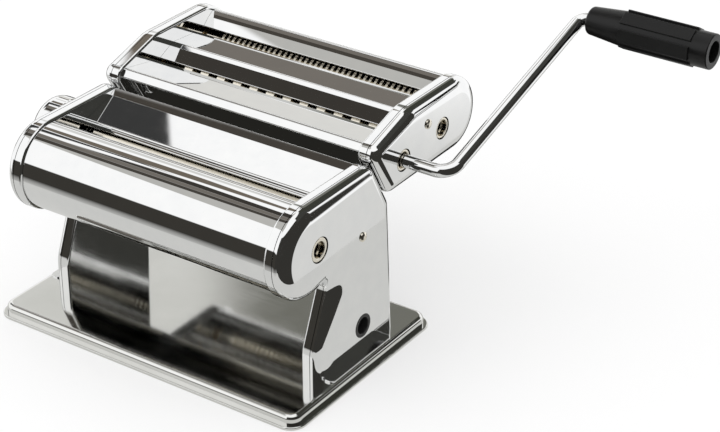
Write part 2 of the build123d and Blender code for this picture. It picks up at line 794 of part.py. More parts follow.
# Cutting rollers with their gears, ribbon pair first
cutter_heights = (cutter_gear_addendum, cutter_gear_dedendum)
cutter_pitch_radius = pair_spacing / 2
gear_plane = gear_start
for index, (name, pitch) in enumerate((("ribbon", ribbon_pitch), ("spaghetti", spaghetti_pitch))):
    gear_end = gear_plane + cutter_gear_width
    left_end = -gear_end - shaft_end_gap / 2
    y, z = drive_axes[index]
    drive = cutting_roller(y, z, pitch, 0) + rod(y, z, left_end, -barrel_end + overcut, cutter_journal)
    drive += rod(y, z, barrel_end - overcut, socket_mouth, cutter_socket)
    parts[name + "_drive_roller"] = drive - socket_cut(y, z, socket_mouth)
    parts[name + "_drive_gear"] = gear(
        y, z, -gear_end, cutter_gear_width, cutter_pitch_radius, cutter_heights,
        cutter_gear_backlash, cutter_journal, cutter_tilt,
    )
    y, z = mate_axes[index]
    mate = cutting_roller(y, z, pitch, 1) + rod(y, z, left_end, bush_end + shaft_end_gap, cutter_journal)
    parts[name + "_mate_roller"] = mate
    parts[name + "_mate_gear"] = gear(
        y, z, -gear_end, cutter_gear_width, cutter_pitch_radius, cutter_heights,
        cutter_gear_backlash, cutter_journal, cutter_tilt + half_tooth,
    )
    gear_plane = gear_end + cutter_gear_step

# Crank, plugged into the ribbon roller, with its freely turning grip
rise = radians(crank_angle)
handle_y = ribbon_y + crank_arm * cos(rise)
handle_z = ribbon_z + crank_arm * sin(rise)
grip_inner = crank_reach + grip_start
grip_outer = grip_inner + grip_length
end_floor = grip_outer - grip_end_depth
retainer_inner = end_floor + retainer_gap
rod_end = retainer_inner + retainer_thickness + rod_end_proud
crank_path = FilletPolyline(
    (socket_mouth - socket_depth + shoulder_gap, ribbon_y, ribbon_z),
    (crank_reach, ribbon_y, ribbon_z),
    (crank_reach, handle_y, handle_z),
    (rod_end, handle_y, handle_z),
    radius=[crank_bend, handle_bend],
)
crank = sweep(Plane(crank_path @ 0, z_dir=crank_path % 0) * Circle(rod_radius), crank_path)
pin_x = socket_mouth - mouth_depth - cross_slot_depth / 2
cross_pin_length = 2 * (mouth_bore - cross_pin_end_play)
cross_pin = Pos(pin_x, ribbon_y, ribbon_z) * Cylinder(cross_pin_radius, cross_pin_length)
cross_hole = Pos(pin_x, ribbon_y, ribbon_z) * Cylinder(cross_pin_radius + seat_play, cross_pin_length)
parts["crank_rod"] = crank - cross_hole
parts["crank_cross_pin"] = cross_pin
parts["grip_retainer"] = rod(
    handle_y, handle_z, retainer_inner, retainer_inner + retainer_thickness, retainer_radius
) - rod(handle_y, handle_z, end_floor, grip_outer, rod_radius + seat_play)
land_start = grip_inner + grip_cone
land_end = land_start + grip_land_length
grip = turned(
    [
        (grip_inner, 0),
        (grip_inner, grip_small),
        (land_start, grip_shoulder),
        (land_start, grip_land_radius),
        (land_end, grip_land_radius),
        (land_end, grip_shoulder),
        (grip_outer, grip_shoulder),
        (grip_outer, 0),
    ],
    handle_y,
    handle_z,
)
grip = fillet(grip.edges().filter_by(GeomType.CIRCLE).sort_by(Axis.X)[0], grip_nose_round)
land_height = grip_land_radius - grip_shoulder
channel_middle = grip_shoulder + land_height
for land in range(grip_lands):
    turned_place = Pos((land_start + land_end) / 2, handle_y, handle_z) * Rot(land * 360 / grip_lands, 0, 0)
    channel = Box(grip_land_length + overcut, grip_channel, 2 * land_height)
    grip -= turned_place * Pos(0, 0, channel_middle) * channel
grip -= rod(handle_y, handle_z, grip_inner - overcut, grip_outer, rod_radius + running_play)
parts["grip"] = grip - rod(handle_y, handle_z, end_floor, grip_outer + overcut, grip_end_bore)

os.makedirs("parts", exist_ok=True)
for name, piece in parts.items():
    solids = piece if isinstance(piece, list) else [piece]
    bodies = [solid for item in solids for solid in item.solids()]
    node = bodies[0] if len(bodies) == 1 else Compound(children=bodies)
    export_step(node, f"parts/{name}.step")
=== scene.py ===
"""Looks of a hand-cranked pasta roller with a lift-off noodle cutter.

X runs along the rollers towards the crank, Y from the rounded nose to the cutter, Z up.
Sizes are written in millimetres, and each finished mesh is brought to metres.
"""
import json
from math import ceil, cos, pi, radians, sin

import bmesh
import bpy
from mathutils import Matrix, Vector
from mathutils.geometry import tessellate_polygon


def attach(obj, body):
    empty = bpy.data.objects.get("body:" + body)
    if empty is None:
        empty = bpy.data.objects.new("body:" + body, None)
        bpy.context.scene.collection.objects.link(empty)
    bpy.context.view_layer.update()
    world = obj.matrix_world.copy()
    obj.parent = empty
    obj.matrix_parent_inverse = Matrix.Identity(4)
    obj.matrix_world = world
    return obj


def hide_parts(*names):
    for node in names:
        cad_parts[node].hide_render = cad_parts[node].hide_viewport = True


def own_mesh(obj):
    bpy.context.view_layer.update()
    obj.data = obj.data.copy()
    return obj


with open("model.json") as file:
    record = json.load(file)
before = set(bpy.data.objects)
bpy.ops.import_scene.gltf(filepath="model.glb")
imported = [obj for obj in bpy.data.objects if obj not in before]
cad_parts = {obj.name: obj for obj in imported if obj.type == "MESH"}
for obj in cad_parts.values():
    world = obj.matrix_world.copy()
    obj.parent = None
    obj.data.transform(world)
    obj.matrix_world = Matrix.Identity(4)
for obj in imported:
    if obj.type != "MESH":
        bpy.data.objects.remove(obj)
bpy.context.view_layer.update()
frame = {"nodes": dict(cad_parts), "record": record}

# Base. A shallow pan pressed from sheet steel, lightly brushed and chrome plated.
# A flat plate closes it from below, and its lip stands out all round.
base_length = 220.0
base_width = 138.0
base_corner = 8.0
base_top = 8.0
pan_sheet = 1.2
pan_edge = 3.4
plate_top = 2.0
lip = 2.6
lip_edge = 0.8
lip_break = 0.4
millimetre = 0.001
weld, crease = 1e-5, radians(35)
bodies = frame["record"]["behaviour"]["bodies"]
body_of = {node: body for body, nodes in bodies.items() for node in nodes}


def linear(code):
    """A hex colour as linear light with full alpha."""
    shades = [int(code[i : i + 2], 16) / 255 for i in (1, 3, 5)]
    return (*(s / 12.92 if s <= 0.04045 else ((s + 0.055) / 1.055) ** 2.4 for s in shades), 1.0)


def add(tree, kind, inputs=None, **settings):
    """Adds a node with its settings; each input takes a value or a link from another node."""
    made = tree.nodes.new(kind)
    for key, value in settings.items():
        setattr(made, key, value)
    for key, value in (inputs or {}).items():
        if isinstance(value, bpy.types.NodeSocket):
            tree.links.new(value, made.inputs[key])
        else:
            made.inputs[key].default_value = value
    return made


def rounded(corners, radii, closed=True, rims=None):
    """An outline with rounded corners as points, each with its normal and the rim wanted there.

    Normals point to the right of the way. A closed outline runs anticlockwise, so they point out.
    """
    corners = [Vector(corner) for corner in corners]
    rims = rims or [0.0] * len(corners)
    count = len(corners)
    if closed:
        area = sum(corners[i - 1].cross(corners[i]) for i in range(count))
        if area < 0:
            corners, radii, rims = corners[::-1], list(radii)[::-1], rims[::-1]
    path = []
    for i, here in enumerate(corners):
        if not closed and i in (0, count - 1):
            way = corners[1] - corners[0] if i == 0 else corners[-1] - corners[-2]
            path.append((here, Vector((way.y, -way.x)).normalized(), rims[i]))
            continue
        back = (corners[i - 1] - here).normalized()
        ahead = (corners[(i + 1) % count] - here).normalized()
        radius = radii[i] if closed else radii[i - 1]
        half = back.angle(ahead) / 2
        centre = here + (back + ahead).normalized() * (radius / sin(half))
        side = 1 if ahead.cross(back) > 0 else -1
        first = Vector((-back.y, back.x))
        steps = max(3, ceil((pi - 2 * half) / radians(4)))
        for step in range(steps + 1):
            normal = first.copy()
            normal.rotate(Matrix.Rotation(side * (pi - 2 * half) * step / steps, 2))
            path.append((centre + normal * radius * side, normal, rims[i]))
    return path


def quarter(place, depth, radius, steps=10):
    """Stations of a rounded edge that rises from a side and turns over to a face."""
    turns = [pi / 2 * step / steps for step in range(steps + 1)]
    return [(place + radius * sin(t), depth + radius * (1 - cos(t))) for t in turns]


def skinned(bm, rows):
    """Faces between each row of points and the next; every row is a closed loop."""
    for low, high in zip(rows, rows[1:]):
        for i in range(len(low)):
            bm.faces.new((low[i - 1], low[i], high[i], high[i - 1]))


def loft(bm, path, stations, upright=False):
    """A skin round a path, by stations: a place along X, or Z if upright, and an inset.

    A third figure is the share of the path's own rim that is added to the inset.
    """
    rows = []
    for place, depth, *share in stations:
        rim_share = share[0] if share else 0.0
        ring = [point - normal * (depth + rim * rim_share) for point, normal, rim in path]
        rows.append([bm.verts.new((*p, place) if upright else (place, *p)) for p in ring])
    skinned(bm, rows)
    return rows


def piece(name, shape, material, *nodes):
    """Finishes a mesh as a piece that stands for CAD nodes and moves with their body."""
    if isinstance(shape, bmesh.types.BMesh):
        bmesh.ops.remove_doubles(shape, verts=shape.verts, dist=weld)
        bmesh.ops.recalc_face_normals(shape, faces=shape.faces)
        mesh = bpy.data.meshes.new(name)
        shape.to_mesh(mesh)
        shape.free()
    else:
        mesh = shape
    mesh.transform(Matrix.Scale(millimetre, 4))
    mesh.shade_smooth()
    mesh.set_sharp_from_angle(angle=crease)
    rough = bpy.data.objects.new(name + "_rough", mesh)
    bpy.context.scene.collection.objects.link(rough)
    rough.modifiers.new("normals", "WEIGHTED_NORMAL").keep_sharp = True
    view = bpy.context.evaluated_depsgraph_get()
    finished = bpy.data.meshes.new_from_object(rough.evaluated_get(view))
    bpy.data.objects.remove(rough)
    finished.materials.clear()
    finished.materials.append(material)
    made = bpy.data.objects.new(name, finished)
    bpy.context.scene.collection.objects.link(made)
    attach(made, body_of[nodes[0]])
    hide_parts(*nodes)
    return made


def finish(name, metallic=1.0):
    """A new material, with its tree, its shader and the place on the object that patterns read."""
    material = bpy.data.materials.new(name)
    material.use_nodes = True
    tree = material.node_tree
    shader = tree.nodes["Principled BSDF"]
    shader.inputs["Metallic"].default_value = metallic
    return material, tree, shader, add(tree, "ShaderNodeTexCoord").outputs["Object"]


# Chrome plate over brushed steel: the plate is bright, but the brushing under its top runs along
# the base and smears what it mirrors, while the pressed rim stays clear. Brush lines 0.6 mm apart
# are drawn, the real ones are finer.
rim_roughness = 0.012
rim_top, flat_start = (base_top - 0.4) / 1000, (base_top - 0.1) / 1000
brushed_chrome, tree, shader, place = finish("brushed_chrome_plate")
along = add(tree, "ShaderNodeMapping", {"Vector": place, "Scale": (1000 / 45, 1000 / 0.6, 1000 / 0.6)})
lines = add(tree, "ShaderNodeTexNoise", {"Vector": along.outputs[0], "Scale": 1.0, "Detail": 4.0})
cloud = add(tree, "ShaderNodeTexNoise", {"Vector": place, "Scale": 1000 / 28, "Detail": 3.0})
haze = add(tree, "ShaderNodeMath", {0: lines.outputs[0], 1: cloud.outputs[0]}, operation="MULTIPLY")
gloss = add(tree, "ShaderNodeMapRange", {0: haze.outputs[0], 1: 0.1, 2: 0.45, 3: 0.03, 4: 0.09})
shades = {0: cloud.outputs[0], 6: linear("#dcdcd9"), 7: linear("#e8e8e6")}
tint = add(tree, "ShaderNodeMix", shades, data_type="RGBA")
parts = add(tree, "ShaderNodeSeparateXYZ", {0: place})
top = add(tree, "ShaderNodeMapRange", {0: parts.outputs["Z"], 1: rim_top, 2: flat_start})
terms = {0: gloss.outputs[0], 1: top.outputs[0], 2: rim_roughness}
smear = add(tree, "ShaderNodeMath", terms, operation="MULTIPLY_ADD")
relief = add(tree, "ShaderNodeMath", {0: lines.outputs[0], 1: top.outputs[0]}, operation="MULTIPLY")
bump = add(tree, "ShaderNodeBump", {"Strength": 0.18, "Distance": 0.00002, "Height": relief.outputs[0]})
tree.links.new(tint.outputs[2], shader.inputs["Base Color"])
tree.links.new(smear.outputs[0], shader.inputs["Roughness"])
tree.links.new(bump.outputs[0], shader.inputs["Normal"])

half_base = Vector((base_length / 2, base_width / 2))
corner_signs = ((-1, -1), (1, -1), (1, 1), (-1, 1))
pan_corners = [(half_base.x * a, half_base.y * b) for a, b in corner_signs]
pan_path = rounded(pan_corners, [base_corner] * 4)
bm = bmesh.new()
outside = loft(bm, pan_path, [(plate_top, 0)] + quarter(base_top - pan_edge, 0, pan_edge), upright=True)
bm.faces.new(outside[-1])
inner_edge = pan_edge - pan_sheet / 2
under = quarter(base_top - pan_sheet - inner_edge, pan_sheet, inner_edge)
inside = loft(bm, pan_path, [(plate_top, pan_sheet)] + under, upright=True)
bm.faces.new(inside[-1])
skinned(bm, [outside[0], inside[0]])
piece("base_tray", bm, brushed_chrome, "base_pan")

lip_corners = [((half_base.x + lip) * a, (half_base.y + lip) * b) for a, b in corner_signs]
lip_path = rounded(lip_corners, [base_corner + lip] * 4)
bm = bmesh.new()
lip_stations = [(0, lip_break), (lip_break, 0)] + quarter(plate_top - lip_edge, 0, lip_edge)
rim = loft(bm, lip_path, lip_stations, upright=True)
bm.faces.new(rim[0])
bm.faces.new(rim[-1])
piece("closing_plate", bm, brushed_chrome, "bottom_plate")

# Side boxes of the roller unit. Each is an inner tray and a deep-drawn outer shell of chromed
# steel; they meet at a seam, and the shell's rim is a full round that carries the highlights.
inner_face = 88.0
tray_open = 93.8
shell_open = 94.2
outer_face = 101.0
box_sheet = 1.2
shell_rim, rim_steps = 6.0, 20
tray_rim = 1.5
ledge_y, ledge_z, ledge_slope = 24.0, 124.0, radians(60)
roller_y, roller_z = -30.0, 95.5
rear_y = 1.8
roller_closing = 2.4
foot_reach = 6.5
foot_front, foot_rear = -28.0, 33.0
foot_round, foot_edge = 3.0, 0.4
bush_hole, sleeve_hole = 7.08, 9.38
clamp_place = (12.0, 24.8)
clamp_hole = 7.52

# Chrome plate over polished, drawn steel: a near mirror with a cool tone. Buffing leaves faint
# haze a centimetre wide, and the drawing leaves slow waves in the sheet.
mirror_chrome, tree, shader, place = finish("polished_chrome_plate")
haze = add(tree, "ShaderNodeTexNoise", {"Vector": place, "Scale": 1000 / 9, "Detail": 5.0})
gloss = add(tree, "ShaderNodeMapRange", {0: haze.outputs[0], 1: 0.3, 2: 0.75, 3: 0.015, 4: 0.06})
shades = {0: haze.outputs[0], 6: linear("#e6e7e8"), 7: linear("#f1f1f0")}
tint = add(tree, "ShaderNodeMix", shades, data_type="RGBA")
waves = add(tree, "ShaderNodeTexNoise", {"Vector": place, "Scale": 1000 / 24, "Detail": 1.0})
bump = add(tree, "ShaderNodeBump", {"Strength": 0.5, "Distance": 0.00006, "Height": waves.outputs[0]})
tree.links.new(tint.outputs[2], shader.inputs["Base Color"])
tree.links.new(gloss.outputs[0], shader.inputs["Roughness"])
tree.links.new(bump.outputs[0], shader.inputs["Normal"])


def on_ledge(up, out):
    """A point (y, z) measured up along the slanted ledge and out from it."""
    return (
        ledge_y - up * cos(ledge_slope) + out * sin(ledge_slope),
        ledge_z + up * sin(ledge_slope) + out * cos(ledge_slope),
    )


def ring(bm, x, y, z, radius, stretch=0.0, count=64):
    """A ring of points about an X axis, drawn out towards -Y for a slot."""
    turns = [2 * pi * i / count for i in range(count)]
    shift = [-stretch if cos(t) < 0 else 0.0 for t in turns]
    return [
        bm.verts.new((x, y + radius * cos(t) + s, z + radius * sin(t))) for t, s in zip(turns, shift)
    ]


def walls(bm, faces, holes):
    """Two flat walls at the given rows, pierced by holes (y, z, radius, stretch)."""
    pierced = []
    for row in faces:
        x = row[0].co.x
        rings = [ring(bm, x, *hole) for hole in holes]
        corners = [v for loop in (row, *rings) for v in loop]
        for triangle in tessellate_polygon([[v.co for v in loop] for loop in (row, *rings)]):
            bm.faces.new([corners[i] for i in triangle])
        pierced.append(rings)
    for near_and_far in zip(*pierced):
        skinned(bm, near_and_far)


def drawn(outline, outer, inner, holes, side, floor=None):
    """A drawn sheet: its outer and inner skins, its pierced wall and its edge, on one side."""
    bm = bmesh.new()
    skins = [loft(bm, outline, outer), loft(bm, outline, inner)]
    walls(bm, [skin[-1] for skin in skins], holes)
    skinned(bm, [skin[0] for skin in skins])
    if floor is not None:
        everything = bm.verts[:] + bm.edges[:] + bm.faces[:]
        bmesh.ops.bisect_plane(
            bm, geom=everything, dist=1e-4, plane_co=(0, 0, floor), plane_no=(0, 0, -1), clear_outer=True
        )
        bmesh.ops.holes_fill(bm, edges=[e for e in bm.edges if e.is_boundary])
    bmesh.ops.scale(bm, vec=(side, 1, 1), verts=bm.verts)
    return bm


def shell(outline, holes, side, floor=None):
    """An outer shell, from the seam over its rim, wider on the broad bends, to the outer wall."""
    start = outer_face - shell_rim
    turns = [pi / 2 * step / rim_steps for step in range(rim_steps + 1)]
    outer = [(shell_open, 0)] + [(start + shell_rim * sin(t), 0, 1 - cos(t)) for t in turns]
    inner_rim = shell_rim - box_sheet
    inner = [(shell_open, box_sheet)]
    inner += [(start + inner_rim * sin(t), box_sheet * cos(t), 1 - cos(t)) for t in turns[::2]]
    return drawn(outline, outer, inner, holes, side, floor)


def tray(outline, holes, side, floor=None):
    """An inner tray, from the seam back over a small bend to the inner wall."""
    start = inner_face + tray_rim
    outer = [(tray_open, 0)] + [(2 * start - x, d) for x, d in quarter(start, 0, tray_rim, 6)]
    inner = [(tray_open, box_sheet), (inner_face + box_sheet, box_sheet)]
    return drawn(outline, outer, inner, holes, side, floor)


panel_corners = [
    (-65.5, 125.0),
    (ledge_y, ledge_z),
    on_ledge(-33.6, 0),
    (46.0, -4.0),
    (-31.6, -4.0),
    (-31.6, 26.0),
    (-14.6, 68.0),
    (-65.5, 68.0),
]
panel_bends = [28.2, 7.0, 10.0, 8.0, 12.0, 24.0, 6.0, 28.2]
panel_rims = [10.0, 6.2, 7.0, 6.0, 11.0, 15.0, 15.0, 10.0]
panel = rounded(panel_corners, panel_bends, rims=panel_rims)
journal_window = (rear_y, roller_z, 5.6, roller_closing)
socket_window = (roller_y, roller_z, 7.9)
for name, side, tray_bush, shell_holes in (
    ("right", 1, sleeve_hole, [socket_window, (*clamp_place, clamp_hole)]),
    ("left", -1, bush_hole, [(rear_y, roller_z, bush_hole)]),
):
    tray_holes = [(roller_y, roller_z, tray_bush), journal_window]
    bm = tray(panel, tray_holes, side, base_top)
    piece(name + "_tray", bm, mirror_chrome, name + "_inner_tray")
    bm = shell(panel, shell_holes, side, base_top)
    foot_start, foot_end = outer_face - box_sheet, outer_face + foot_reach
    foot_corners = [
        (foot_start * side, foot_front),
        (foot_end * side, foot_front),
        (foot_end * side, foot_rear),
        (foot_start * side, foot_rear),
    ]
    foot_path = rounded(foot_corners, [foot_round] * 4)
    foot_stations = [(base_top, 0)] + quarter(base_top + box_sheet - foot_edge, 0, foot_edge, 4)
    foot = loft(bm, foot_path, foot_stations, upright=True)
    bm.faces.new(foot[0])
    bm.faces.new(foot[-1])
    piece(name + "_shell", bm, mirror_chrome, name + "_outer_shell")

# Guards and plates of the roller unit. Chromed sheet of 1 mm, bent on a brake: the front guard
# rolls round the nose, the feed plate slopes from its folded top edge down to the rollers, and the
# rear guard shuts the back.
sheet = 1.0
wall_reach = 87.9


def bent(corners, radii):
    """Sheet bent along an open line in (y, z), from wall to wall, with its edges broken round.

    Its thickness lies to the right of the line's way.
    """
    line = [(point, normal) for point, normal, rim in rounded(corners, radii, closed=False)]
    skin = [point for point, normal in line]
    for (point, normal), sign in ((line[-1], 1), (line[0], -1)):
        centre = point + normal * sheet / 2
        ahead = Vector((-normal.y, normal.x)) * sign
        skin += [
            centre + normal * sheet / 2 * -sign * cos(t) + ahead * sheet / 2 * sin(t)
            for t in [pi * step / 6 for step in range(1, 6)]
        ]
        if sign == 1:
            skin += [point + normal * sheet for point, normal in line[::-1]]
    bm = bmesh.new()
    ends = [[bm.verts.new((x, *point)) for point in skin] for x in (-wall_reach, wall_reach)]
    skinned(bm, ends)
    for end in ends:
        for triangle in tessellate_polygon([[v.co for v in end]]):
            bm.faces.new([end[i] for i in triangle])
    return bm


# The same plate on flat-rolled sheet: flatter than the drawn shells, and with less haze.
sheet_chrome = mirror_chrome.copy()
sheet_chrome.name = "polished_chrome_sheet"
sheet_chrome.node_tree.nodes["Bump"].inputs["Strength"].default_value = 0.01
sheet_chrome.node_tree.nodes["Map Range"].inputs[4].default_value = 0.03

guard_corners = [(-35, 72.3), (-35, 69.3), (-64, 69.3), (-64, 123.5), (-25, 123.5), (-25, 110)]
piece("nose_guard", bent(guard_corners, [1.5, 26.8, 26.8, 12.0]), sheet_chrome, "front_guard")
slope_corners = [(-7.4, 110.2), (-6, 113.2), (16.8, 120.27), (21.4, 122.95)]
piece("feed_slope", bent(slope_corners, [1.5, 1.0]), sheet_chrome, "feed_plate")
heel = Vector(on_ledge(-31.0, -2.2))
back_corners = [on_ledge(-2.0, -2.2), heel, (heel.x + 1.0, 72.0)]
piece("back_guard", bent(back_corners, [10.0]), sheet_chrome, "rear_guard")

# Smooth rollers. Steel bars ground round, nickel plated and left satin, with a sleeve on the front
# one that takes the crank: a bore with a wide mouth, and a slot inside it for the crank's pin.
roller_radius = 14.5
roller_half = 83.0
roller_shoulder, shoulder_radius = 86.2, 8.2
journal_root, journal_radius, journal_edge = 85.0, 5.0, 0.5
sharp_edge, pole = 0.01, 1e-4
sleeve_root = roller_shoulder - 1.0
sleeve_radius = 7.3
socket_mouth = 100.6
socket_depth = 16.5
socket_bore = 4.1
mouth_bore, mouth_depth = 5.0, 3.4
slot_width, slot_depth, slot_overcut = 3.0, 3.0, 0.4

# Satin nickel plate: warmer than chrome, and ground round the roller, so that highlights are soft
# lines. Grinding marks 2 mm apart are drawn, the real ones are finer.
satin_nickel, tree, shader, place = finish("satin_nickel_plate")
around = add(tree, "ShaderNodeMapping", {"Vector": place, "Scale": (1000 / 2, 1000 / 30, 1000 / 30)})
marks = add(tree, "ShaderNodeTexNoise", {"Vector": around.outputs[0], "Scale": 1.0, "Detail": 3.0})
gloss = add(tree, "ShaderNodeMapRange", {0: marks.outputs[0], 1: 0.3, 2: 0.7, 3: 0.12, 4: 0.15})
shades = {0: marks.outputs[0], 6: linear("#e4ddcf"), 7: linear("#ebe6d9")}
tint = add(tree, "ShaderNodeMix", shades, data_type="RGBA")
tree.links.new(tint.outputs[2], shader.inputs["Base Color"])
tree.links.new(gloss.outputs[0], shader.inputs["Roughness"])


def turned(bm, profile, y, z, radii, count=96):
    """A skin turned about an X axis from (x, radius) points, with its corners rounded."""
    profile = [tuple(step[0]) for step in rounded(profile, radii, closed=False)]
    rows = [ring(bm, x, y, z, max(radius, pole), count=count) for x, radius in profile]
    skinned(bm, rows)
    for row in (rows[0], rows[-1]):
        bm.faces.new(row)


def journal(bm, end, radius, y, z, edge, count):
    """A bearing journal that stands out of a bar to its end, where its edge is broken."""
    if end > 0:
        start, stop, edges = journal_root, end, [sharp_edge, edge]
    else:
        start, stop, edges = end, -journal_root, [edge, sharp_edge]
    turned(bm, [(start, 0), (start, radius), (stop, radius), (stop, 0)], y, z, edges, count)


def cut(bm, *boxes):
    """Takes boxes (centre, size, turn about X) out of a solid."""
    bmesh.ops.remove_doubles(bm, verts=bm.verts, dist=weld)
    bmesh.ops.recalc_face_normals(bm, faces=bm.faces)
    tool = bmesh.new()
    for centre, size, turn in boxes:
        place = Matrix.LocRotScale(Vector(centre), Matrix.Rotation(turn, 3, "X"), Vector(size))
        bmesh.ops.create_cube(tool, size=1.0, matrix=place)
    blocks = []
    for shape in (bm, tool):
        mesh = bpy.data.meshes.new("cutting")
        shape.to_mesh(mesh)
        shape.free()
        blocks.append(bpy.data.objects.new("cutting", mesh))
        bpy.context.scene.collection.objects.link(blocks[-1])
    step = blocks[0].modifiers.new("cut", "BOOLEAN")
    step.object = blocks[1]
    view = bpy.context.evaluated_depsgraph_get()
    result = bmesh.new()
    mesh = bpy.data.meshes.new_from_object(blocks[0].evaluated_get(view))
    result.from_mesh(mesh)
    for block in blocks:
        bpy.data.objects.remove(block)
    return result


def sleeve(y, z, radius):
    """A crank socket at the right end: a bored sleeve, and a slot in the floor of its mouth."""
    bm = bmesh.new()
    floor = socket_mouth - socket_depth
    mouth_floor = socket_mouth - mouth_depth
    profile = [
        (sleeve_root, 0),
        (sleeve_root, radius),
        (socket_mouth, radius),
        (socket_mouth, mouth_bore),
        (mouth_floor, mouth_bore),
        (mouth_floor, socket_bore),
        (floor, socket_bore),
        (floor, 0),
    ]
    turned(bm, profile, y, z, [sharp_edge, 0.4, 0.4, 0.2, 0.2, sharp_edge], count=64)
    slot_size = (slot_depth + slot_overcut, slot_width, 2 * mouth_bore)
    slot_place = (mouth_floor - (slot_depth - slot_overcut) / 2, y, z)
    return cut(bm, (slot_place, slot_size, 0.0))


def joined(bm, other):
    """Adds one solid to another as a part of the same piece."""
    mesh = bpy.data.meshes.new("joined")
    other.to_mesh(mesh)
    other.free()
    bm.from_mesh(mesh)


barrel = [
    (-roller_shoulder, 0),
    (-roller_shoulder, shoulder_radius),
    (-roller_half, shoulder_radius),
    (-roller_half, roller_radius),
    (roller_half, roller_radius),
    (roller_half, shoulder_radius),
    (roller_shoulder, shoulder_radius),
    (roller_shoulder, 0),
]
barrel_edges = [0.3, 0.3, 1.0, 1.0, 0.3, 0.3]
for name, y, left_end, right_end in (
    ("front_roller", roller_y, -90.7, None),
    ("rear_roller", rear_y, -93.7, 99.2),
):
    bm = bmesh.new()
    turned(bm, barrel, y, roller_z, barrel_edges)
    journal(bm, left_end, journal_radius, y, roller_z, journal_edge, 48)
    if right_end:
        journal(bm, right_end, journal_radius, y, roller_z, journal_edge, 48)
    else:
        joined(bm, sleeve(y, roller_z, sleeve_radius))
    piece(name + "_bar", bm, satin_nickel, name)

# Bearings, gears, ties and scrapers of the roller unit. Turned bronze bushes and machined steel
# that the boxes hide for the most part.
cad_weld = 1e-3

# Sintered bronze: brown and matt, with pores that show as dark grain. It is drawn 0.7 mm wide, and
# the real pores are finer.
bronze, tree, shader, place = finish("sintered_bronze")
pores = add(tree, "ShaderNodeTexNoise", {"Vector": place, "Scale": 1000 / 0.7, "Detail": 2.0})
shades = {0: pores.outputs[0], 6: linear("#a98a5c"), 7: linear("#cdb286")}
tint = add(tree, "ShaderNodeMix", shades, data_type="RGBA")
gloss = add(tree, "ShaderNodeMapRange", {0: pores.outputs[0], 1: 0.3, 2: 0.7, 3: 0.28, 4: 0.42})
tree.links.new(tint.outputs[2], shader.inputs["Base Color"])
tree.links.new(gloss.outputs[0], shader.inputs["Roughness"])

# Machined steel: grey and oiled, with cutter marks that break up its highlights. They are drawn
# 1.5 mm wide, and the real ones are finer.
machined_steel, tree, shader, place = finish("machined_steel")
marks = add(tree, "ShaderNodeTexNoise", {"Vector": place, "Scale": 1000 / 1.5, "Detail": 3.0})
shades = {0: marks.outputs[0], 6: linear("#a9a9a8"), 7: linear("#cbcac6")}
tint = add(tree, "ShaderNodeMix", shades, data_type="RGBA")
gloss = add(tree, "ShaderNodeMapRange", {0: marks.outputs[0], 1: 0.3, 2: 0.7, 3: 0.2, 4: 0.36})
tree.links.new(tint.outputs[2], shader.inputs["Base Color"])
tree.links.new(gloss.outputs[0], shader.inputs["Roughness"])


def copied(material, *nodes):
    """Merged, smooth copies of CAD nodes that hardly show, each as a piece of its own."""
    made = []
    for node in nodes:
        bm = bmesh.new()
        bm.from_mesh(frame["nodes"][node].data)
        bmesh.ops.scale(bm, vec=(1000, 1000, 1000), verts=bm.verts)
        bmesh.ops.remove_doubles(bm, verts=bm.verts, dist=cad_weld)
        made.append(piece(node + "_part", bm, material, node))
    return made


copied(bronze, "roller_bushes", "left_bearing_block", "right_bearing_block")
copied(machined_steel, "front_gear", "rear_gear", "carriage_guides", "tie_rods", "tie_rod_nuts")
copied(machined_steel, "front_scraper", "rear_scraper", "cutter_rails")

# Clamp hole. A liner of black plastic, moulded as a cup and pressed into the right leg, that the
# pin of a table clamp goes into.
liner_back, liner_floor, liner_front = 89.2, 90.8, 101.2
liner_radius, clamp_bore = 7.5, 5.2

# Matt moulded plastic: near black, with an even grain from the mould. It is drawn 0.9 mm wide, and
# the real grain is finer.
black_liner, tree, shader, place = finish("matt_moulded_plastic", metallic=0.0)
grain = add(tree, "ShaderNodeTexNoise", {"Vector": place, "Scale": 1000 / 0.9, "Detail": 2.0})
shades = {0: grain.outputs[0], 6: linear("#161616"), 7: linear("#262625")}
tint = add(tree, "ShaderNodeMix", shades, data_type="RGBA")
gloss = add(tree, "ShaderNodeMapRange", {0: grain.outputs[0], 1: 0.3, 2: 0.7, 3: 0.35, 4: 0.5})
tree.links.new(tint.outputs[2], shader.inputs["Base Color"])
tree.links.new(gloss.outputs[0], shader.inputs["Roughness"])

bm = bmesh.new()
liner = [
    (liner_back, 0),
    (liner_back, liner_radius),
    (liner_front, liner_radius),
    (liner_front, clamp_bore),
    (liner_floor, clamp_bore),
    (liner_floor, 0),
]
turned(bm, liner, *clamp_place, [0.3, 0.15, 0.6, 0.3], count=64)
piece("clamp_cup", bm, black_liner, "clamp_liner")

# Thickness regulator. A chromed knob on the left that is pulled out and turned; its pin drops
# into the index ring behind it, and a cap closes its end over the spring, which the pull shortens.
dial_face, dial_radius = -104.0, 23.0
knob_inner = -104.5
knob_web = knob_inner - 4.0
knob_outer = -126.0
flange_radius, knob_radius, knob_bore = 21.5, 20.5, 11.0
cap_floor, cap_radius = knob_outer + 3.0, 10.95
bm = bmesh.new()
dial = [(-outer_face, 0), (-outer_face, dial_radius), (dial_face, dial_radius), (dial_face, 0)]
turned(bm, dial, rear_y, roller_z, [sharp_edge, 1.0])
piece("dial_ring", bm, mirror_chrome, "index_ring")
bm = bmesh.new()
knob = [
    (knob_inner, 0),
    (knob_inner, flange_radius),
    (knob_web, flange_radius),
    (knob_web - 1.0, knob_radius),
    (knob_outer, knob_radius),
    (knob_outer, knob_bore),
    (knob_web, knob_bore),
    (knob_web, 0),
]
turned(bm, knob, rear_y, roller_z, [0.6, 0.4, 0.4, 8.0, 0.6, 0.3])
